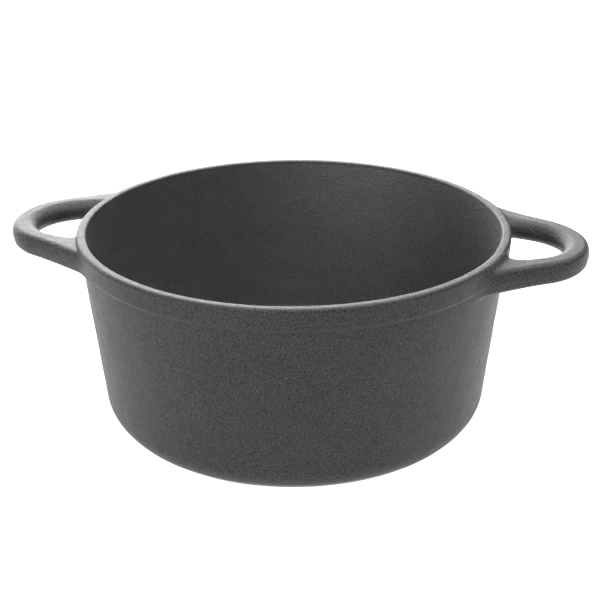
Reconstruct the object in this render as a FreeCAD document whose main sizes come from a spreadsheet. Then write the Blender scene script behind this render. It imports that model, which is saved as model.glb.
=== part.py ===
import FreeCAD, Part

import math
import os

import Sketcher

# Cast iron dutch oven body: a round, drafted pot with a thick band at its rim and two level loop handles.
# Millimetres and degrees. +Z is up, the origin is the centre of the flat underside, and the handles lie
# along X. The casting is held as five named regions that meet face to face.

SIZES = [
    # alias, value, meaning
    ("mouth_radius", 119.3, "radius of the cavity at the rim"),
    ("rim_width", 5.5, "wall width at the rim, rounding included"),
    ("pot_height", 115.4, "flat underside to rim"),
    ("band_height", 13.7, "rim down to the foot of the ledge under the band"),
    ("band_draft", 2.6, "angle of the band's outer face"),
    ("ledge_step", 1.8, "how far the band stands out from the wall below it"),
    ("ledge_rise", 2.6, "height of the sloping ledge"),
    ("wall_draft", 5.35, "angle of the wall's outer face"),
    ("cavity_draft", 5.35, "angle of the cavity's wall"),
    ("floor_thickness", 5.0, "thickness of the floor"),
    ("base_height", 20.0, "underside to the joint between base and wall"),
    ("outer_corner_radius", 18.0, "rounding between underside and wall"),
    ("inner_corner_radius", 10.0, "rounding between floor and cavity wall"),
    ("rim_rounding", 1.9, "rounding of the rim's outer edge"),
    ("mouth_rounding", 1.5, "rounding of the rim's inner edge"),
    ("ledge_rounding", 0.8, "rounding between the ledge and the band's outer face"),
    ("handle_overhang", 36.0, "rim's outer edge to the handle's centreline at its tip"),
    ("handle_tip_radius", 34.6, "radius of the centreline round the tip"),
    ("handle_arm_angle", 27.7, "angle between an arm and the handle's long axis"),
    ("handle_width", 14.4, "section width seen from above"),
    ("handle_height", 12.8, "section height"),
    ("handle_rounding", 4.7, "corner radius of the section"),
    ("handle_drop", 3.9, "top of the handle below the rim"),
    ("root_width", 28.0, "section width at the buried end of an arm"),
    ("root_length", 52.0, "length of an arm, buried end included"),
    ("middle_flare", 0.35, "share of the widening that is reached halfway along an arm"),
]

# Sections that each arm is lofted through.
ARM_SECTIONS = [
    # share of the arm's length away from the tip's arc, share of the widening
    (0.0, "0"),
    (0.5, "Sizes.middle_flare"),
    (1.0, "1"),
]

# Heights and radii that several sub-parts share, as expressions on the sheet.
RIM_RADIUS = "(Sizes.mouth_radius + Sizes.rim_width)"
LEDGE_HEIGHT = "(Sizes.pot_height - Sizes.band_height)"
BAND_FOOT_HEIGHT = f"({LEDGE_HEIGHT} + Sizes.ledge_rise)"
BAND_FOOT_RADIUS = f"({RIM_RADIUS} - (Sizes.pot_height - {BAND_FOOT_HEIGHT}) * tan(Sizes.band_draft))"
WALL_TOP_RADIUS = f"({BAND_FOOT_RADIUS} - Sizes.ledge_step)"
HANDLE_REACH = f"({RIM_RADIUS} + Sizes.handle_overhang)"
TIP_CENTRE = f"({HANDLE_REACH} - Sizes.handle_tip_radius)"
HANDLE_MIDDLE = "(Sizes.pot_height - Sizes.handle_drop - Sizes.handle_height / 2)"


def wall_radius(height):
    """Outer radius of the wall below the band."""
    return f"({WALL_TOP_RADIUS} - ({LEDGE_HEIGHT} - {height}) * tan(Sizes.wall_draft))"


def cavity_radius(height):
    """Radius of the cavity, before its lower corner is rounded."""
    return f"(Sizes.mouth_radius - (Sizes.pot_height - {height}) * tan(Sizes.cavity_draft))"


def make_sheet(document):
    sheet = document.addObject("Spreadsheet::Sheet", "Sizes")
    for row, (alias, value, meaning) in enumerate(SIZES, start=1):
        sheet.set(f"A{row}", alias)
        sheet.set(f"B{row}", str(value))
        sheet.set(f"C{row}", meaning)
        sheet.setAlias(f"B{row}", alias)
    document.recompute()
    return sheet


def value_of(sheet, expression):
    """What an expression on the sheet comes to, as a plain number."""
    result = sheet.evalExpression(expression)
    return float(getattr(result, "Value", result))


def new_body(document, name):
    body = document.addObject("PartDesign::Body", name)
    body.Label = name
    return body


def origin_plane(body, role):
    for feature in body.Origin.OriginFeatures:
        if feature.Role == role:
            return feature
    raise RuntimeError(f"{body.Label} has no {role}")


def new_sketch(body, name, role):
    sketch = body.newObject("Sketcher::SketchObject", name)
    sketch.AttachmentSupport = (origin_plane(body, role), [""])
    sketch.MapMode = "FlatFace"
    return sketch


def bind(sketch, kind, elements, expression, sheet):
    """Add a driving dimension and tie it to the sheet."""
    index = sketch.addConstraint(Sketcher.Constraint(kind, *elements, value_of(sheet, expression)))
    sketch.setExpression(f"Constraints[{index}]", expression)


def place_point(sketch, geometry, point, across, up, sheet):
    """Fix one point of a sketch. None means that it lies on that axis."""
    if across is None:
        sketch.addConstraint(Sketcher.Constraint("PointOnObject", geometry, point, -2))
    else:
        bind(sketch, "DistanceX", (-1, 1, geometry, point), across, sheet)
    if up is None:
        sketch.addConstraint(Sketcher.Constraint("PointOnObject", geometry, point, -1))
    else:
        bind(sketch, "DistanceY", (-1, 1, geometry, point), up, sheet)


def profile_sketch(body, name, corners, sheet):
    """Closed half profile in the XZ plane: corners are pairs of expressions for radius and height."""
    sketch = new_sketch(body, name, "XZ_Plane")
    points = []
    for across, up in corners:
        x = 0.0 if across is None else value_of(sheet, across)
        y = 0.0 if up is None else value_of(sheet, up)
        points.append(FreeCAD.Vector(x, y, 0))
    count = len(points)
    for index in range(count):
        sketch.addGeometry(Part.LineSegment(points[index], points[(index + 1) % count]), False)
    for index in range(count):
        sketch.addConstraint(Sketcher.Constraint("Coincident", index, 2, (index + 1) % count, 1))
    for index, (across, up) in enumerate(corners):
        place_point(sketch, index, 1, across, up, sheet)
    return sketch


def revolve(body, name, sketch):
    turned = body.newObject("PartDesign::Revolution", name)
    turned.Profile = sketch
    turned.ReferenceAxis = (sketch, ["V_Axis"])
    turned.Angle = 360.0
    body.Document.recompute()
    return turned


def ring_edge(feature, radius, height):
    """Name of the full circle of a turned solid that has this radius and height."""
    for index, edge in enumerate(feature.Shape.Edges, start=1):
        curve = edge.Curve
        if not isinstance(curve, Part.Circle):
            continue
        if abs(curve.Radius - radius) < 0.001 and abs(curve.Center.z - height) < 0.001:
            return f"Edge{index}"
    raise RuntimeError(f"{feature.Label} has no edge of radius {radius} at height {height}")


def round_ring(body, name, base, radius, height, rounding, sheet):
    """Round the circular edge at this radius and height, all three given as expressions."""
    edge = ring_edge(base, value_of(sheet, radius), value_of(sheet, height))
    fillet = body.newObject("PartDesign::Fillet", name)
    fillet.Base = (base, [edge])
    fillet.setExpression("Radius", rounding)
    body.Document.recompute()
    return fillet


def make_base(document, sheet):
    """Floor, rounded corner and the foot of the wall."""
    body = new_body(document, "pot_base")
    corners = [
        (None, None),
        (wall_radius("0"), None),
        (wall_radius("Sizes.base_height"), "Sizes.base_height"),
        (cavity_radius("Sizes.base_height"), "Sizes.base_height"),
        (cavity_radius("Sizes.floor_thickness"), "Sizes.floor_thickness"),
        (None, "Sizes.floor_thickness"),
    ]
    turned = revolve(body, "base_turned", profile_sketch(body, "base_profile", corners, sheet))
    outer = round_ring(
        body, "outer_corner", turned, wall_radius("0"), "0", "Sizes.outer_corner_radius", sheet)
    round_ring(
        body, "inner_corner", outer, cavity_radius("Sizes.floor_thickness"),
        "Sizes.floor_thickness", "Sizes.inner_corner_radius", sheet)
    return body


def make_wall(document, sheet):
    """Drafted shell from the base up to the ledge."""
    body = new_body(document, "pot_wall")
    corners = [
        (cavity_radius("Sizes.base_height"), "Sizes.base_height"),
        (wall_radius("Sizes.base_height"), "Sizes.base_height"),
        (WALL_TOP_RADIUS, LEDGE_HEIGHT),
        (cavity_radius(LEDGE_HEIGHT), LEDGE_HEIGHT),
    ]
    revolve(body, "wall_turned", profile_sketch(body, "wall_profile", corners, sheet))
    return body


def make_band(document, sheet):
    """Thick band that stiffens the rim and carries the handles."""
    body = new_body(document, "rim_band")
    corners = [
        (cavity_radius(LEDGE_HEIGHT), LEDGE_HEIGHT),
        (WALL_TOP_RADIUS, LEDGE_HEIGHT),
        (BAND_FOOT_RADIUS, BAND_FOOT_HEIGHT),
        (RIM_RADIUS, "Sizes.pot_height"),
        ("Sizes.mouth_radius", "Sizes.pot_height"),
    ]
    turned = revolve(body, "band_turned", profile_sketch(body, "band_profile", corners, sheet))
    rim = round_band_edges(body, turned, sheet)
    round_ring(
        body, "mouth_edge", rim, "Sizes.mouth_radius", "Sizes.pot_height",
        "Sizes.mouth_rounding", sheet)
    return body


def round_band_edges(body, turned, sheet):
    """Round the two outer edges that the band and the envelope share."""
    ledge = round_ring(
        body, f"{body.Label}_ledge_edge", turned, BAND_FOOT_RADIUS, BAND_FOOT_HEIGHT,
        "Sizes.ledge_rounding", sheet)
    return round_ring(
        body, f"{body.Label}_rim_edge", ledge, RIM_RADIUS, "Sizes.pot_height",
        "Sizes.rim_rounding", sheet)


def make_envelope(document, sheet):
    """Outer shape of the pot as one plug, which trims the handles to the wall and the band."""
    body = new_body(document, "pot_envelope")
    corners = [
        (None, None),
        (wall_radius("0"), None),
        (WALL_TOP_RADIUS, LEDGE_HEIGHT),
        (BAND_FOOT_RADIUS, BAND_FOOT_HEIGHT),
        (RIM_RADIUS, "Sizes.pot_height"),
        (None, "Sizes.pot_height"),
    ]
    turned = revolve(body, "envelope_turned", profile_sketch(body, "envelope_profile", corners, sheet))
    round_band_edges(body, turned, sheet)
    return body


def draw_section(sketch, middle_across, middle_up, width, sheet):
    """Rounded rectangle of the handle, centred on the two middle expressions."""
    x = value_of(sheet, middle_across)
    y = value_of(sheet, middle_up)
    half_width = value_of(sheet, width) / 2
    half_height = value_of(sheet, "Sizes.handle_height") / 2
    rounding = value_of(sheet, "Sizes.handle_rounding")
    flat_x = half_width - rounding
    flat_y = half_height - rounding
    # Going round from the lower right corner: side, corner arc, side, corner arc and so on.
    quarters = [
        ((half_width, -flat_y), (half_width, flat_y), (flat_x, flat_y), 0),
        ((flat_x, half_height), (-flat_x, half_height), (-flat_x, flat_y), 90),
        ((-half_width, flat_y), (-half_width, -flat_y), (-flat_x, -flat_y), 180),
        ((-flat_x, -half_height), (flat_x, -half_height), (flat_x, -flat_y), 270),
    ]
    for start, end, centre, start_angle in quarters:
        line = Part.LineSegment(
            FreeCAD.Vector(x + start[0], y + start[1], 0), FreeCAD.Vector(x + end[0], y + end[1], 0))
        circle = Part.Circle(
            FreeCAD.Vector(x + centre[0], y + centre[1], 0), FreeCAD.Vector(0, 0, 1), rounding)
        first = math.radians(start_angle)
        last = math.radians(start_angle + 90)
        sketch.addGeometry(line, False)
        sketch.addGeometry(Part.ArcOfCircle(circle, first, last), False)
    for side in range(0, 8, 2):
        arc = side + 1
        sketch.addConstraint(Sketcher.Constraint("Tangent", side, 2, arc, 1))
        sketch.addConstraint(Sketcher.Constraint("Tangent", arc, 2, (side + 2) % 8, 1))
        sketch.addConstraint(Sketcher.Constraint("Vertical" if side % 4 == 0 else "Horizontal", side))
    for arc in (3, 5, 7):
        sketch.addConstraint(Sketcher.Constraint("Equal", 1, arc))
    bind(sketch, "Radius", (1,), "Sizes.handle_rounding", sheet)
    bind(sketch, "DistanceX", (-1, 1, 0, 1), f"{middle_across} + {width} / 2", sheet)
    bind(sketch, "DistanceX", (-1, 1, 4, 1), f"{middle_across} - {width} / 2", sheet)
    bind(sketch, "DistanceY", (-1, 1, 2, 1), f"{middle_up} + Sizes.handle_height / 2", sheet)
    bind(sketch, "DistanceY", (-1, 1, 6, 1), f"{middle_up} - Sizes.handle_height / 2", sheet)


def make_tip(body, name, sheet):
    """Round end of the loop: the section turned about an upright axis."""
    sketch = new_sketch(body, f"{name}_tip_section", "XZ_Plane")
    draw_section(sketch, HANDLE_REACH, HANDLE_MIDDLE, "Sizes.handle_width", sheet)
    axis_x = value_of(sheet, TIP_CENTRE)
    axis_top = value_of(sheet, "Sizes.pot_height")
    axis = Part.LineSegment(FreeCAD.Vector(axis_x, 0, 0), FreeCAD.Vector(axis_x, axis_top, 0))
    index = sketch.addGeometry(axis, True)
    sketch.addConstraint(Sketcher.Constraint("Vertical", index))
    place_point(sketch, index, 1, TIP_CENTRE, None, sheet)
    bind(sketch, "DistanceY", (index, 1, index, 2), "Sizes.pot_height", sheet)
    tip = body.newObject("PartDesign::Revolution", f"{name}_tip")
    tip.Profile = sketch
    tip.ReferenceAxis = (sketch, ["Axis0"])
    tip.Midplane = True
    tip.setExpression("Angle", "180 - 2 * Sizes.handle_arm_angle")
    body.Document.recompute()


def make_arm_section(body, name, share, width, sheet):
    """Section across an arm, this share of its length away from the tip's arc."""
    sketch = new_sketch(body, name, "XZ_Plane")
    sketch.AttachmentOffset = FreeCAD.Placement(
        FreeCAD.Vector(0, 0, 0), FreeCAD.Rotation(FreeCAD.Vector(0, 1, 0), 45))
    along = f"{share} * Sizes.root_length"
    sketch.setExpression(
        "AttachmentOffset.Base.x", f"{TIP_CENTRE} - {along} * cos(Sizes.handle_arm_angle)")
    sketch.setExpression("AttachmentOffset.Base.z", f"-{along} * sin(Sizes.handle_arm_angle)")
    sketch.setExpression("AttachmentOffset.Rotation.Angle", "90 - Sizes.handle_arm_angle")
    draw_section(sketch, "Sizes.handle_tip_radius", HANDLE_MIDDLE, width, sheet)
    return sketch


def make_handle(document, name, turn, envelope, sheet):
    """Loop handle, turned about the pot's axis and trimmed to its outer surface."""
    body = new_body(document, f"{name}_blank")
    make_tip(body, name, sheet)
    sections = []
    for number, (share, flare) in enumerate(ARM_SECTIONS):
        width = f"(Sizes.handle_width + (Sizes.root_width - Sizes.handle_width) * {flare})"
        sections.append(make_arm_section(body, f"{name}_arm_section_{number}", share, width, sheet))
    document.recompute()
    arm = body.newObject("PartDesign::AdditiveLoft", f"{name}_arm")
    arm.Profile = sections[0]
    arm.Sections = sections[1:]
    document.recompute()
    arms = body.newObject("PartDesign::Mirrored", f"{name}_arms")
    arms.Originals = [arm]
    arms.MirrorPlane = (origin_plane(body, "XZ_Plane"), [""])
    body.Tip = arms
    body.Placement = FreeCAD.Placement(
        FreeCAD.Vector(0, 0, 0), FreeCAD.Rotation(FreeCAD.Vector(0, 0, 1), turn))
    document.recompute()
    handle = document.addObject("Part::Cut", name)
    handle.Base = body
    handle.Tool = envelope
    handle.Label = name
    document.recompute()
    return handle


def check(document, sub_parts):
    """Stop if any object failed, or if a sub-part isn't one valid solid."""
    for item in document.Objects:
        if "Invalid" in item.State or "Error" in item.State:
            raise RuntimeError(f"{item.Label} failed: {item.State}")
    for sub_part in sub_parts:
        shape = sub_part.Shape
        if shape.isNull() or not shape.isValid():
            raise RuntimeError(f"{sub_part.Label} has no valid shape")
        if len(shape.Solids) != 1:
            raise RuntimeError(f"{sub_part.Label} has {len(shape.Solids)} solids")


def main():
    document = FreeCAD.newDocument("dutch_oven")
    sheet = make_sheet(document)
    envelope = make_envelope(document, sheet)
    sub_parts = [
        make_base(document, sheet),
        make_wall(document, sheet),
        make_band(document, sheet),
        make_handle(document, "handle_right", 0, envelope, sheet),
        make_handle(document, "handle_left", 180, envelope, sheet),
    ]
    document.recompute()
    check(document, sub_parts)
    os.makedirs("parts", exist_ok=True)
    for sub_part in sub_parts:
        shape = sub_part.Shape
        shape.exportStep(f"parts/{sub_part.Label}.step")
        box = shape.optimalBoundingBox(False, False)
        print(
            f"{sub_part.Label}: volume {shape.Volume:.0f} mm3, "
            f"x {box.XMin:.2f} to {box.XMax:.2f}, y {box.YMin:.2f} to {box.YMax:.2f}, "
            f"z {box.ZMin:.2f} to {box.ZMax:.2f}")


main()
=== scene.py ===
import itertools
import math

import bpy
import numpy as np
from mathutils import Matrix, Vector


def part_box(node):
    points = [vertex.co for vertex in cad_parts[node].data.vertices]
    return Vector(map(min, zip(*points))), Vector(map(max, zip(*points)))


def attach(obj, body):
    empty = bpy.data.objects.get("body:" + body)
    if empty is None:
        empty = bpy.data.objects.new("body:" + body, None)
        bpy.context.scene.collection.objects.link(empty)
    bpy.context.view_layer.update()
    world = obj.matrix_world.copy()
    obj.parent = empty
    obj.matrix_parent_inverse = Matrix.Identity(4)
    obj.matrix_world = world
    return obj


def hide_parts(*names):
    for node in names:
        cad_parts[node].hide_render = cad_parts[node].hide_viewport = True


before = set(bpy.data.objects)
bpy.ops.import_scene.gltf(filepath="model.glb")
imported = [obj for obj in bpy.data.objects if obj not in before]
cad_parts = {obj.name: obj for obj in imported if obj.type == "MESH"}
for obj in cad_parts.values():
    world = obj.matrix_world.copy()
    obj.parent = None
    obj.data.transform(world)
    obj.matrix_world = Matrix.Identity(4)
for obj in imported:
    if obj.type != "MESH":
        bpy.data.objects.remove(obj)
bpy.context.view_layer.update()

# Looks of the cast iron dutch oven, in metres. The origin is at the centre of the underside, and the
# handles lie along X.

MM = 0.001

# Heights and the handle's end come from the frame, and the other sizes are the casting's own.
POT_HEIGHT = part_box("rim_band")[1].z
LEDGE_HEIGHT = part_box("rim_band")[0].z
BASE_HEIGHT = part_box("pot_base")[1].z
HANDLE_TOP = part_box("handle_right")[1].z
HANDLE_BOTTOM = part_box("handle_right")[0].z
HANDLE_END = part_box("handle_right")[1].x

MOUTH_RADIUS = 119.3 * MM
RIM_RADIUS = 124.8 * MM
BAND_DRAFT = math.radians(2.6)
LEDGE_STEP = 1.8 * MM
LEDGE_RISE = 2.6 * MM
WALL_DRAFT = math.radians(5.35)
CAVITY_DRAFT = math.radians(5.35)
FLOOR_HEIGHT = 5.0 * MM
OUTER_CORNER = 18.0 * MM
INNER_CORNER = 10.0 * MM
RIM_ROUNDING = 1.9 * MM
MOUTH_ROUNDING = 1.5 * MM
LEDGE_ROUNDING = 0.8 * MM
LEDGE_FILLET = 0.6 * MM

HANDLE_REACH = 161.5 * MM
# The two half widths are at the parting line, halfway up the handle.
OUTER_HALF_WIDTH = 6.8 * MM
INNER_HALF_WIDTH = 8.0 * MM
OUTER_ROUNDING = 3.0 * MM
INNER_ROUNDING = 5.0 * MM
OUTER_DRAFT = math.radians(8)
INNER_DRAFT = math.radians(18)
PARTING_ROUNDING = 0.5 * MM
TIP_RADIUS = 34.6 * MM
ARM_ANGLE = math.radians(27.7)
ROOT_FLARE = 4.8 * MM
ROOT_LENGTH = 52.0 * MM
FLARE_POWER = 1.5
CORNER_FILL = 6.0 * MM
CORNER_REACH = 5.0 * MM
ROOT_FILLET = 3.5 * MM
ROOT_FILLET_TOP = {"right": 3.0 * MM, "left": 1.5 * MM}
TOP_RISE = {"right": 1.7 * MM, "left": 0.0}
RISE_REACH = 5.0 * MM
LEFT_STRETCH = 1.0 * MM
ROOT_EMBED = 1.0 * MM
ROOT_SINK = 0.12 * MM

BAND_FOOT_HEIGHT = LEDGE_HEIGHT + LEDGE_RISE
BAND_FOOT_RADIUS = RIM_RADIUS - (POT_HEIGHT - BAND_FOOT_HEIGHT) * math.tan(BAND_DRAFT)
WALL_TOP_RADIUS = BAND_FOOT_RADIUS - LEDGE_STEP
HANDLE_MIDDLE = (HANDLE_TOP + HANDLE_BOTTOM) / 2
HANDLE_HEIGHT = HANDLE_TOP - HANDLE_BOTTOM
TIP_CENTRE = HANDLE_REACH - TIP_RADIUS

# Fineness of the meshes, and the space that the handles' net looks at.
SEGMENTS = 540
SPACING = 1.4 * MM
NET_STEP = 0.5 * MM
NET_ROUNDS = 4
NET_MARGIN = 2 * MM
NET_HALF_WIDTH = 85 * MM
GRADIENT_REACH = 0.02 * MM


def wall_radius(height):
    return WALL_TOP_RADIUS - (LEDGE_HEIGHT - height) * math.tan(WALL_DRAFT)


def cavity_radius(height):
    return MOUTH_RADIUS - (POT_HEIGHT - height) * math.tan(CAVITY_DRAFT)


# Relief of the sand-cast surface ---------------------------------------------------------------------

NOISE_CELLS = 61
FOOT_FADE = 4.0 * MM
RELIEF = [
    # feature size across, feature size up, height, seed
    (16.0 * MM, 12.0 * MM, 0.110 * MM, 1),
    (7.0 * MM, 5.0 * MM, 0.050 * MM, 2),
    (3.6 * MM, 2.8 * MM, 0.022 * MM, 3),
]


def smooth_noise(points, seed):
    """Smooth random field between -1 and 1, with one random value at each whole-number point."""
    table = np.random.RandomState(seed).uniform(-1, 1, (NOISE_CELLS,) * 3)
    low = np.floor(points).astype(int)
    share = points - low
    share = share * share * (3 - 2 * share)
    total = np.zeros(len(points))
    for corner in itertools.product((0, 1), repeat=3):
        weight = np.ones(len(points))
        for axis in range(3):
            weight *= share[:, axis] if corner[axis] else 1 - share[:, axis]
        cell = (low + corner) % NOISE_CELLS
        total += weight * table[cell[:, 0], cell[:, 1], cell[:, 2]]
    return total


def relief(points):
    """How far the cast surface stands out of the drawn one, at each point. Nothing stands out underneath."""
    total = np.zeros(len(points))
    for across, up, height, seed in RELIEF:
        total += height * smooth_noise(points / (across, across, up), seed)
    most = sum(height for _, _, height, _ in RELIEF)
    return total - most * (1 - smooth_step(points[:, 2], 0, FOOT_FADE))


# Distance fields -------------------------------------------------------------------------------------


def smooth_step(value, start, end):
    """0 before start, 1 after end and smooth between."""
    share = np.clip((value - start) / (end - start), 0, 1)
    return share * share * (3 - 2 * share)


def round_max(a, b, radius):
    """Overlap of two fields with its edge rounded."""
    corner = np.hypot(np.maximum(a + radius, 0), np.maximum(b + radius, 0))
    return np.minimum(np.maximum(a, b), -radius) + corner


def round_min(a, b, radius):
    """Union of two fields with a fillet in its inside corner."""
    return -round_max(-a, -b, radius)


def pot_distance(across, up):
    """Signed distance to the pot's outer surface near the band, from radius and height."""
    band_line = RIM_RADIUS - (POT_HEIGHT - up) * math.tan(BAND_DRAFT)
    band = (across - band_line) * math.cos(BAND_DRAFT)
    band = round_max(band, up - POT_HEIGHT, RIM_ROUNDING)
    ledge = (across - WALL_TOP_RADIUS) * LEDGE_RISE - (up - LEDGE_HEIGHT) * LEDGE_STEP
    band = round_max(band, ledge / math.hypot(LEDGE_RISE, LEDGE_STEP), LEDGE_ROUNDING)
    wall_line = WALL_TOP_RADIUS - (LEDGE_HEIGHT - up) * math.tan(WALL_DRAFT)
    wall = (across - wall_line) * math.cos(WALL_DRAFT)
    wall = np.maximum(wall, up - (LEDGE_HEIGHT + POT_HEIGHT) / 2)
    return round_min(wall, band, LEDGE_FILLET)


def handle_distance(points, top_rise):
    """Signed distance to the right handle's swept section, both arms. Its top rises towards the rim."""
    x = points[:, 0] - TIP_CENTRE
    y = np.abs(points[:, 1])
    z = points[:, 2] - HANDLE_MIDDLE
    along = np.maximum(y * math.sin(ARM_ANGLE) - x * math.cos(ARM_ANGLE), 0)
    across_arm = x * math.sin(ARM_ANGLE) + y * math.cos(ARM_ANGLE) - TIP_RADIUS
    across = np.where(along > 0, across_arm, np.hypot(x, y) - TIP_RADIUS)
    flare = ROOT_FLARE * (along / ROOT_LENGTH) ** FLARE_POWER
    gap = np.maximum(np.hypot(points[:, 0], points[:, 1]) - RIM_RADIUS, 0)
    fill = CORNER_FILL / 2 * np.exp(-gap / CORNER_REACH)
    outer = across + fill > 0
    half = np.where(outer, OUTER_HALF_WIDTH, INNER_HALF_WIDTH)
    draft = np.where(outer, OUTER_DRAFT, INNER_DRAFT)
    from_middle = np.hypot(z, PARTING_ROUNDING) - PARTING_ROUNDING
    beside = np.abs(across + fill) - (half + flare + fill)
    beside = beside * np.cos(draft) + from_middle * np.sin(draft)
    rise = top_rise * np.exp(-gap / RISE_REACH)
    above = np.maximum(z - rise, -z) - HANDLE_HEIGHT / 2
    return round_max(beside, above, np.where(outer, OUTER_ROUNDING, INNER_ROUNDING))


def handle_field(points, top_fillet, top_rise):
    """Right handle with its fillets, let a little way into the pot. Zero is the surface."""
    across = np.hypot(points[:, 0], points[:, 1])
    pot = pot_distance(across, points[:, 2])
    handle = handle_distance(points, top_rise)
    rise = smooth_step(points[:, 2], HANDLE_MIDDLE, HANDLE_TOP)
    fillet = ROOT_FILLET + (top_fillet - ROOT_FILLET) * rise
    fused = round_min(pot, handle, fillet) + ROOT_SINK * smooth_step(handle / fillet, 0.6, 1.0)
    hidden = np.maximum(-pot - ROOT_EMBED, MOUTH_RADIUS + MOUTH_ROUNDING - across)
    return np.maximum(np.maximum(fused, hidden), handle - fillet)


def field_normals(field, points):
    """Field's value, unit gradient and the gradient's length at each point."""
    value = field(points)
    slope = np.empty_like(points)
    for axis in range(3):
        step = np.zeros(3)
        step[axis] = GRADIENT_REACH
        slope[:, axis] = (field(points + step) - field(points - step)) / (2 * GRADIENT_REACH)
    length = np.maximum(np.linalg.norm(slope, axis=1, keepdims=True), 1e-6)
    return value, slope / length, length[:, 0]


def surface_net(field, low, high, step):
    """Points and quads of a field's zero surface inside a box."""
    axes = [np.arange(start, end + step, step) for start, end in zip(low, high)]
    grid = np.stack(np.meshgrid(*axes, indexing="ij"), -1)
    values = field(grid.reshape(-1, 3)).reshape(grid.shape[:3])
    cells = np.array(values.shape) - 1

    def corner(offset):
        parts = tuple(slice(o, o + count) for o, count in zip(offset, cells))
        return values[parts]

    inside = sum((corner(offset) < 0).astype(int) for offset in itertools.product((0, 1), repeat=3))
    mixed = (inside > 0) & (inside < 8)
    index = np.full(mixed.shape, -1)
    index[mixed] = np.arange(mixed.sum())
    total = np.zeros((mixed.sum(), 3))
    hits = np.zeros(mixed.sum())
    for axis in range(3):
        for pair in itertools.product((0, 1), repeat=2):
            start = list(pair)
            start.insert(axis, 0)
            end = list(pair)
            end.insert(axis, 1)
            first = corner(start)[mixed]
            last = corner(end)[mixed]
            crossed = (first < 0) != (last < 0)
            share = np.where(crossed, first / np.where(crossed, first - last, 1), 0)
            place = np.tile(np.array(start, float), (len(share), 1))
            place[:, axis] = share
            total += place * crossed[:, None]
            hits += crossed
    base = np.argwhere(mixed)
    points = np.array(low) + (base + total / hits[:, None]) * step

    quads = []
    for axis in range(3):
        one, two = [other for other in range(3) if other != axis]
        below = [slice(None)] * 3
        above = [slice(None)] * 3
        below[axis] = slice(0, cells[axis])
        above[axis] = slice(1, cells[axis] + 1)
        for other in (one, two):
            below[other] = above[other] = slice(1, cells[other])
        first = values[tuple(below)] < 0
        last = values[tuple(above)] < 0
        for leaving in (True, False):
            places = np.argwhere((first != last) & (first == leaving))
            places[:, [one, two]] += 1
            around = []
            for back_one, back_two in ((1, 1), (0, 1), (0, 0), (1, 0)):
                cell = places.copy()
                cell[:, one] -= back_one
                cell[:, two] -= back_two
                around.append(index[cell[:, 0], cell[:, 1], cell[:, 2]])
            ring = np.stack(around, -1)
            turned = leaving == (axis != 1)
            quads.append(ring if turned else ring[:, ::-1])
    return points, np.concatenate(quads)


# Mesh building ---------------------------------------------------------------------------------------


def new_object(name, points, faces, sharp_edges=()):
    mesh = bpy.data.meshes.new(name)
    mesh.from_pydata(points, [], faces)
    mesh.validate()
    mesh.shade_smooth()
    if len(sharp_edges):
        rows = {tuple(sorted(edge)) for edge in sharp_edges}
        flags = [tuple(sorted(edge.vertices)) in rows for edge in mesh.edges]
        layer = mesh.attributes.new("sharp_edge", "BOOLEAN", "EDGE")
        layer.data.foreach_set("value", flags)
    piece = bpy.data.objects.new(name, mesh)
    bpy.context.scene.collection.objects.link(piece)
    return piece


def rounded_path(corners, spacing):
    """Dense points along straight runs whose corners, given as (radius, height, rounding), are rounded."""
    points = []
    places = [np.array(corner[:2]) for corner in corners]
    start = places[0]
    for number in range(1, len(corners)):
        here = places[number]
        rounding = corners[number][2]
        back = start - here
        if number + 1 < len(corners) and rounding > 0:
            into = (places[number - 1] - here) / np.linalg.norm(places[number - 1] - here)
            out = (places[number + 1] - here) / np.linalg.norm(places[number + 1] - here)
            half = math.acos(np.clip(into @ out, -1, 1)) / 2
            cut = rounding / math.tan(half)
            centre = here + (into + out) / np.linalg.norm(into + out) * rounding / math.sin(half)
            arc_start = here + into * cut
            arc_end = here + out * cut
        else:
            arc_start = arc_end = here
            centre = None
        count = max(1, round(np.linalg.norm(arc_start - start) / spacing))
        points += [start + (arc_start - start) * step / count for step in range(count)]
        if centre is not None:
            first = arc_start - centre
            turn = math.pi - 2 * half
            side = np.sign(first[0] * (arc_end - centre)[1] - first[1] * (arc_end - centre)[0])
            count = max(4, round(rounding * turn / spacing))
            for step in range(count):
                angle = side * turn * step / count
                cos, sin = math.cos(angle), math.sin(angle)
                points.append(centre + np.array(
                    [first[0] * cos - first[1] * sin, first[0] * sin + first[1] * cos]))
        start = arc_end
    points.append(start)
    return np.array(points)


def path_normals(points):
    """Unit normals to the right of the path."""
    ahead = np.gradient(points, axis=0)
    ahead /= np.linalg.norm(ahead, axis=1, keepdims=True)
    return np.stack([ahead[:, 1], -ahead[:, 0]], -1)


def turned_grid(points, normals):
    """The path turned about Z, with relief: rows of SEGMENTS points."""
    angles = np.arange(SEGMENTS) * 2 * math.pi / SEGMENTS
    cos, sin = np.cos(angles), np.sin(angles)
    rows = np.stack([
        points[:, :1] * cos, points[:, :1] * sin, np.repeat(points[:, 1:], SEGMENTS, 1)], -1)
    out = np.stack([
        normals[:, :1] * cos, normals[:, :1] * sin, np.repeat(normals[:, 1:], SEGMENTS, 1)], -1)
    flat = rows.reshape(-1, 3)
    height = relief(flat).reshape(rows.shape[:2])
    return rows + out * height[..., None]


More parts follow.
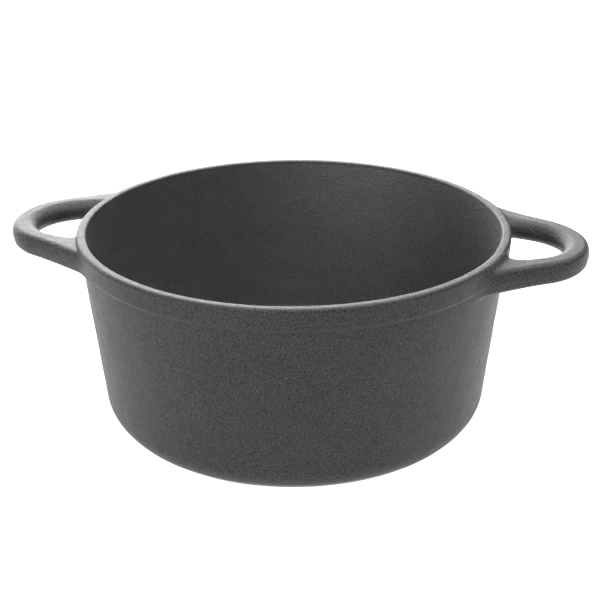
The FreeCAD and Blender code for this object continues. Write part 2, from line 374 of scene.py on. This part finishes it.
def turned_piece(name, outer, inner, is_ring):
    """A ring or dish between an outer path going up and an inner path going down.

    A dish's outer path starts on the axis, and its inner path ends there.
    """
    grids = [turned_grid(*path) for path in (outer, inner)]
    rows = [row for grid in grids for row in grid]
    if not is_ring:
        rows = rows[1:-1]
    points = np.concatenate(rows)
    count = len(rows)
    faces = []
    steps = np.arange(SEGMENTS)
    nexts = (steps + 1) % SEGMENTS
    pairs = [(row, row + 1) for row in range(count - 1)]
    if is_ring:
        pairs.append((count - 1, 0))
    for lower, upper in pairs:
        faces.append(np.stack([
            lower * SEGMENTS + steps, lower * SEGMENTS + nexts,
            upper * SEGMENTS + nexts, upper * SEGMENTS + steps], -1))
    faces = [tuple(face) for face in np.concatenate(faces).tolist()]
    if not is_ring:
        poles = np.array([grids[0][0][0], grids[1][-1][0]])
        points = np.concatenate([points, poles])
        under, over = len(points) - 2, len(points) - 1
        last = (count - 1) * SEGMENTS
        for step, following in zip(steps.tolist(), nexts.tolist()):
            faces.append((under, following, step))
            faces.append((over, last + step, last + following))
    top = len(grids[0]) - (1 if is_ring else 2)
    sharp_rows = [top, top + 1]
    if is_ring:
        sharp_rows += [0, count - 1]
    sharp = []
    for row in sharp_rows:
        sharp += zip((row * SEGMENTS + steps).tolist(), (row * SEGMENTS + nexts).tolist())
    return new_object(name, points.tolist(), faces, sharp)


def pot_paths():
    """Outer path from the middle of the underside to the mouth, and inner path back to the floor."""
    outer = rounded_path([
        (0.0, 0.0, 0.0),
        (wall_radius(0), 0.0, OUTER_CORNER),
        (wall_radius(BASE_HEIGHT), BASE_HEIGHT, 0.0),
        (WALL_TOP_RADIUS, LEDGE_HEIGHT, 0.0),
    ], SPACING)
    band = rounded_path([
        (WALL_TOP_RADIUS, LEDGE_HEIGHT, 0.0),
        (BAND_FOOT_RADIUS, BAND_FOOT_HEIGHT, LEDGE_ROUNDING),
        (RIM_RADIUS, POT_HEIGHT, RIM_ROUNDING),
        (MOUTH_RADIUS, POT_HEIGHT, MOUTH_ROUNDING),
        (cavity_radius(LEDGE_HEIGHT), LEDGE_HEIGHT, 0.0),
    ], SPACING / 3)
    inner = rounded_path([
        (cavity_radius(LEDGE_HEIGHT), LEDGE_HEIGHT, 0.0),
        (cavity_radius(BASE_HEIGHT), BASE_HEIGHT, 0.0),
        (cavity_radius(FLOOR_HEIGHT), FLOOR_HEIGHT, INNER_CORNER),
        (0.0, FLOOR_HEIGHT, 0.0),
    ], SPACING)
    return outer, band, inner


def split_path(path, height):
    """The parts of a path below and above a height, both ending on it."""
    normals = path_normals(path)
    below = path[:, 1] <= height + 1e-9
    above = ~below | (np.abs(path[:, 1] - height) < 1e-6)
    return (path[below], normals[below]), (path[above], normals[above])


def mark_inside(piece):
    """Give each point its share of the cavity's look, which starts below the rounded mouth: its own duller
    finish with a paler colour that is partly painted light.
    """
    places = np.empty(len(piece.data.vertices) * 3)
    piece.data.vertices.foreach_get("co", places)
    places = places.reshape(-1, 3)
    radius = np.hypot(places[:, 0], places[:, 1])
    up = places[:, 2]
    below_rim = smooth_step(POT_HEIGHT - up, MOUTH_ROUNDING / 2, MOUTH_ROUNDING * 1.5)
    in_cavity = (radius < cavity_radius(up) + MOUTH_ROUNDING) & (up > FLOOR_HEIGHT / 2)
    layer = piece.data.attributes.new("inside", "FLOAT", "POINT")
    layer.data.foreach_set("value", below_rim * in_cavity)


def make_pot():
    outer, band, inner = pot_paths()
    outer_base, outer_wall = split_path(outer, BASE_HEIGHT)
    inner_base, inner_wall = split_path(inner, BASE_HEIGHT)
    band_normals = path_normals(band)
    half = int(np.argmax(band[:, 1] > POT_HEIGHT - 1e-9)) + 1
    outer_band = (band[:half], band_normals[:half])
    inner_band = (band[half:], band_normals[half:])
    pieces = {
        "pot_base": turned_piece("cast_base", outer_base, inner_base, is_ring=False),
        "pot_wall": turned_piece("cast_wall", outer_wall, inner_wall, is_ring=True),
        "rim_band": turned_piece("cast_rim_band", outer_band, inner_band, is_ring=True),
    }
    for piece in pieces.values():
        mark_inside(piece)
    return pieces


def make_handle(side, turn, stretch):
    """One handle, built at +X, stretched a little towards its tip and turned to its side."""
    def field(points):
        return handle_field(points, ROOT_FILLET_TOP[side], TOP_RISE[side])

    low = (TIP_CENTRE - ROOT_LENGTH, -NET_HALF_WIDTH, HANDLE_BOTTOM - ROOT_FILLET - NET_MARGIN)
    high = (HANDLE_END + NET_MARGIN, NET_HALF_WIDTH, POT_HEIGHT + NET_MARGIN)
    points, quads = surface_net(field, low, high, NET_STEP)
    for _ in range(NET_ROUNDS):
        value, normal, length = field_normals(field, points)
        points = points - normal * np.clip(value / length, -NET_STEP / 2, NET_STEP / 2)[:, None]
    _, normal, _ = field_normals(field, points)
    points[:, 0] += stretch * smooth_step(points[:, 0], RIM_RADIUS, HANDLE_END)
    placed = points * (turn, turn, 1)
    placed += normal * (turn, turn, 1) * relief(placed)[:, None]
    return new_object(f"cast_handle_{side}", placed.tolist(), [tuple(face) for face in quads.tolist()])


def make_handles():
    return {
        "handle_right": make_handle("right", 1, 0.0),
        "handle_left": make_handle("left", -1, LEFT_STRETCH),
    }


# Material --------------------------------------------------------------------------------------------


SPECK_SIZE = 1.6 * MM
SPECK_START = 0.74
SPECK_FULL = 0.85
SPECK_TONE = 0.8
GRAIN_RANGE = (0.25, 0.75)
ROUGH_PATCH_SIZE = 6 * MM
ROUGH_RANGE = (0.3, 0.7)
ROUGH_SPREAD = 0.03


def noise_node(tree, place, feature, detail=2.0):
    """Random pattern, 0 to 1, whose spots are about as wide as the feature size."""
    node = tree.nodes.new("ShaderNodeTexNoise")
    node.inputs["Scale"].default_value = 1 / feature
    node.inputs["Detail"].default_value = detail
    tree.links.new(place, node.inputs["Vector"])
    return node.outputs["Fac"]


def range_node(tree, value, from_low, from_high, to_low, to_high):
    node = tree.nodes.new("ShaderNodeMapRange")
    node.inputs["From Min"].default_value = from_low
    node.inputs["From Max"].default_value = from_high
    node.inputs["To Min"].default_value = to_low
    node.inputs["To Max"].default_value = to_high
    tree.links.new(value, node.inputs["Value"])
    return node.outputs["Result"]


def sum_node(tree, first, second):
    node = tree.nodes.new("ShaderNodeMath")
    node.operation = "ADD"
    tree.links.new(first, node.inputs[0])
    tree.links.new(second, node.inputs[1])
    return node.outputs["Value"]


def iron_look(tree, stretch, colour, roughness, specular, grain):
    """One look of the casting, from its colour, gloss, grain and bumps. Grain is a list of (feature size,
    share of the colour, height).
    """
    coordinates = tree.nodes.new("ShaderNodeTexCoord")
    scaled = tree.nodes.new("ShaderNodeVectorMath")
    scaled.operation = "MULTIPLY"
    scaled.inputs[1].default_value = stretch
    tree.links.new(coordinates.outputs["Object"], scaled.inputs[0])
    place = scaled.outputs["Vector"]

    tone = height = None
    for feature, share, rise in grain:
        noise = noise_node(tree, place, feature)
        part = range_node(tree, noise, *GRAIN_RANGE, -share, share)
        lift = range_node(tree, noise, *GRAIN_RANGE, -rise, rise)
        tone = sum_node(tree, tone, part) if tone else part
        height = sum_node(tree, height, lift) if height else lift
    spots = noise_node(tree, place, SPECK_SIZE, 0.0)
    speck = range_node(tree, spots, SPECK_START, SPECK_FULL, 0.0, SPECK_TONE)
    tone = sum_node(tree, tone, speck)
    shade = range_node(tree, tone, -1.0, 1.0, 0.0, 2 * colour)

    shader = tree.nodes.new("ShaderNodeBsdfPrincipled")
    tree.links.new(shade, shader.inputs["Base Color"])
    patches = noise_node(tree, place, ROUGH_PATCH_SIZE)
    rough = range_node(tree, patches, *ROUGH_RANGE, roughness - ROUGH_SPREAD, roughness + ROUGH_SPREAD)
    tree.links.new(rough, shader.inputs["Roughness"])
    shader.inputs["Specular IOR Level"].default_value = specular
    relief_node = tree.nodes.new("ShaderNodeBump")
    relief_node.inputs["Strength"].default_value = 1.0
    relief_node.inputs["Distance"].default_value = 1.0
    tree.links.new(height, relief_node.inputs["Height"])
    tree.links.new(relief_node.outputs["Normal"], shader.inputs["Normal"])
    return shader.outputs["BSDF"]


def make_iron():
    """Cast iron with a satin outside and a duller inside, whose paler colour is partly painted light that
    brightens the cavity.
    """
    material = bpy.data.materials.new("cast_iron")
    material.use_nodes = True
    tree = material.node_tree
    tree.nodes.clear()
    outside = iron_look(tree, (1.0, 1.0, 1.0), 0.024, 0.46, 0.20, [
        (0.8 * MM, 1.00, 0.075 * MM),
        (2.0 * MM, 0.15, 0.030 * MM),
        (30.0 * MM, 0.10, 0.0),
    ])
    # The inside's paler colour is partly its own finish and partly painted light standing in for light in
    # the cavity.
    inside = iron_look(tree, (1.0, 1.0, 1.8), 0.038, 0.46, 0.95, [
        (0.9 * MM, 0.80, 0.080 * MM),
        (2.4 * MM, 0.12, 0.040 * MM),
        (30.0 * MM, 0.10, 0.0),
    ])
    share = tree.nodes.new("ShaderNodeAttribute")
    share.attribute_name = "inside"
    mix = tree.nodes.new("ShaderNodeMixShader")
    tree.links.new(share.outputs["Fac"], mix.inputs["Fac"])
    tree.links.new(outside, mix.inputs[1])
    tree.links.new(inside, mix.inputs[2])
    output = tree.nodes.new("ShaderNodeOutputMaterial")
    tree.links.new(mix.outputs["Shader"], output.inputs["Surface"])
    return material


# Camera, floor and light -----------------------------------------------------------------------------

CAMERA_AZIMUTH = math.radians(9.0)
CAMERA_ELEVATION = math.radians(28.96)
CAMERA_DISTANCE = 690.7 * MM
CAMERA_PITCH = math.radians(24.02)
CAMERA_YAW = math.radians(-0.315)
CAMERA_ROLL = math.radians(0.257)
CAMERA_LENS = 66.2
SENSOR = 36.0

FLOOR_HALF = 3.0
FLOOR_COLOUR = (0.25, 0.25, 0.25, 1)
FLOOR_GLOW = 1.15


def make_camera():
    data = bpy.data.cameras.new("camera")
    data.sensor_width = SENSOR
    data.lens = CAMERA_LENS
    camera = bpy.data.objects.new("camera", data)
    bpy.context.scene.collection.objects.link(camera)
    around = Matrix.Rotation(CAMERA_AZIMUTH, 4, "Z")
    place = Vector((0, -math.cos(CAMERA_ELEVATION), math.sin(CAMERA_ELEVATION))) * CAMERA_DISTANCE
    aim = (Matrix.Rotation(CAMERA_YAW, 4, "Z") @ Matrix.Rotation(-CAMERA_PITCH, 4, "X")
           @ Matrix.Rotation(CAMERA_ROLL, 4, "Y") @ Matrix.Rotation(math.pi / 2, 4, "X"))
    camera.matrix_world = around @ Matrix.Translation(place) @ aim
    bpy.context.scene.camera = camera


def make_floor():
    """Pale floor that glows like a light table, which leaves no shadow."""
    corners = [(x * FLOOR_HALF, y * FLOOR_HALF, 0) for x, y in ((-1, -1), (1, -1), (1, 1), (-1, 1))]
    mesh = bpy.data.meshes.new("floor")
    mesh.from_pydata(corners, [], [(0, 1, 2, 3)])
    floor = bpy.data.objects.new("floor", mesh)
    bpy.context.scene.collection.objects.link(floor)
    material = bpy.data.materials.new("floor")
    material.use_nodes = True
    shader = material.node_tree.nodes["Principled BSDF"]
    shader.inputs["Base Color"].default_value = FLOOR_COLOUR
    shader.inputs["Roughness"].default_value = 0.9
    shader.inputs["Specular IOR Level"].default_value = 0.0
    shader.inputs["Emission Color"].default_value = (1, 1, 1, 1)
    shader.inputs["Emission Strength"].default_value = FLOOR_GLOW
    mesh.materials.append(material)


LIGHT_SPREAD = math.radians(40)
LIGHTS = [
    # direction from behind the pot, clockwise seen from above, then elevation and strength
    (-15, 12, 8.0),
    (-60, 12, 1.0),
    (-135, 12, 2.7),
    (65, 60, 3.8),
    (180, 62, 2.1),
    (0, 90, 4.4),
    (0, 50, 2.4),
]


def make_lights():
    """Soft lights all round the pot, as bright patches of the sky."""
    world = bpy.data.worlds.new("studio")
    world.use_nodes = True
    tree = world.node_tree
    direction = tree.nodes.new("ShaderNodeTexCoord").outputs["Generated"]
    total = None
    for azimuth, elevation, strength in LIGHTS:
        turn = math.radians(azimuth) - CAMERA_AZIMUTH
        rise = math.radians(elevation)
        facing = tree.nodes.new("ShaderNodeVectorMath")
        facing.operation = "DOT_PRODUCT"
        facing.inputs[1].default_value = (
            math.sin(turn) * math.cos(rise), math.cos(turn) * math.cos(rise), math.sin(rise))
        tree.links.new(direction, facing.inputs[0])
        patch = tree.nodes.new("ShaderNodeMapRange")
        patch.interpolation_type = "SMOOTHSTEP"
        patch.inputs["From Min"].default_value = math.cos(LIGHT_SPREAD)
        patch.inputs["To Max"].default_value = strength
        tree.links.new(facing.outputs["Value"], patch.inputs["Value"])
        total = sum_node(tree, total, patch.outputs["Result"]) if total else patch.outputs["Result"]
    tree.links.new(total, tree.nodes["Background"].inputs["Color"])
    bpy.context.scene.world = world


make_camera()
make_floor()
make_lights()
iron = make_iron()
for node, piece in {**make_pot(), **make_handles()}.items():
    piece.data.materials.append(iron)
    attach(piece, "root")
    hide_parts(node)

bpy.context.scene.view_settings.view_transform = "Standard"
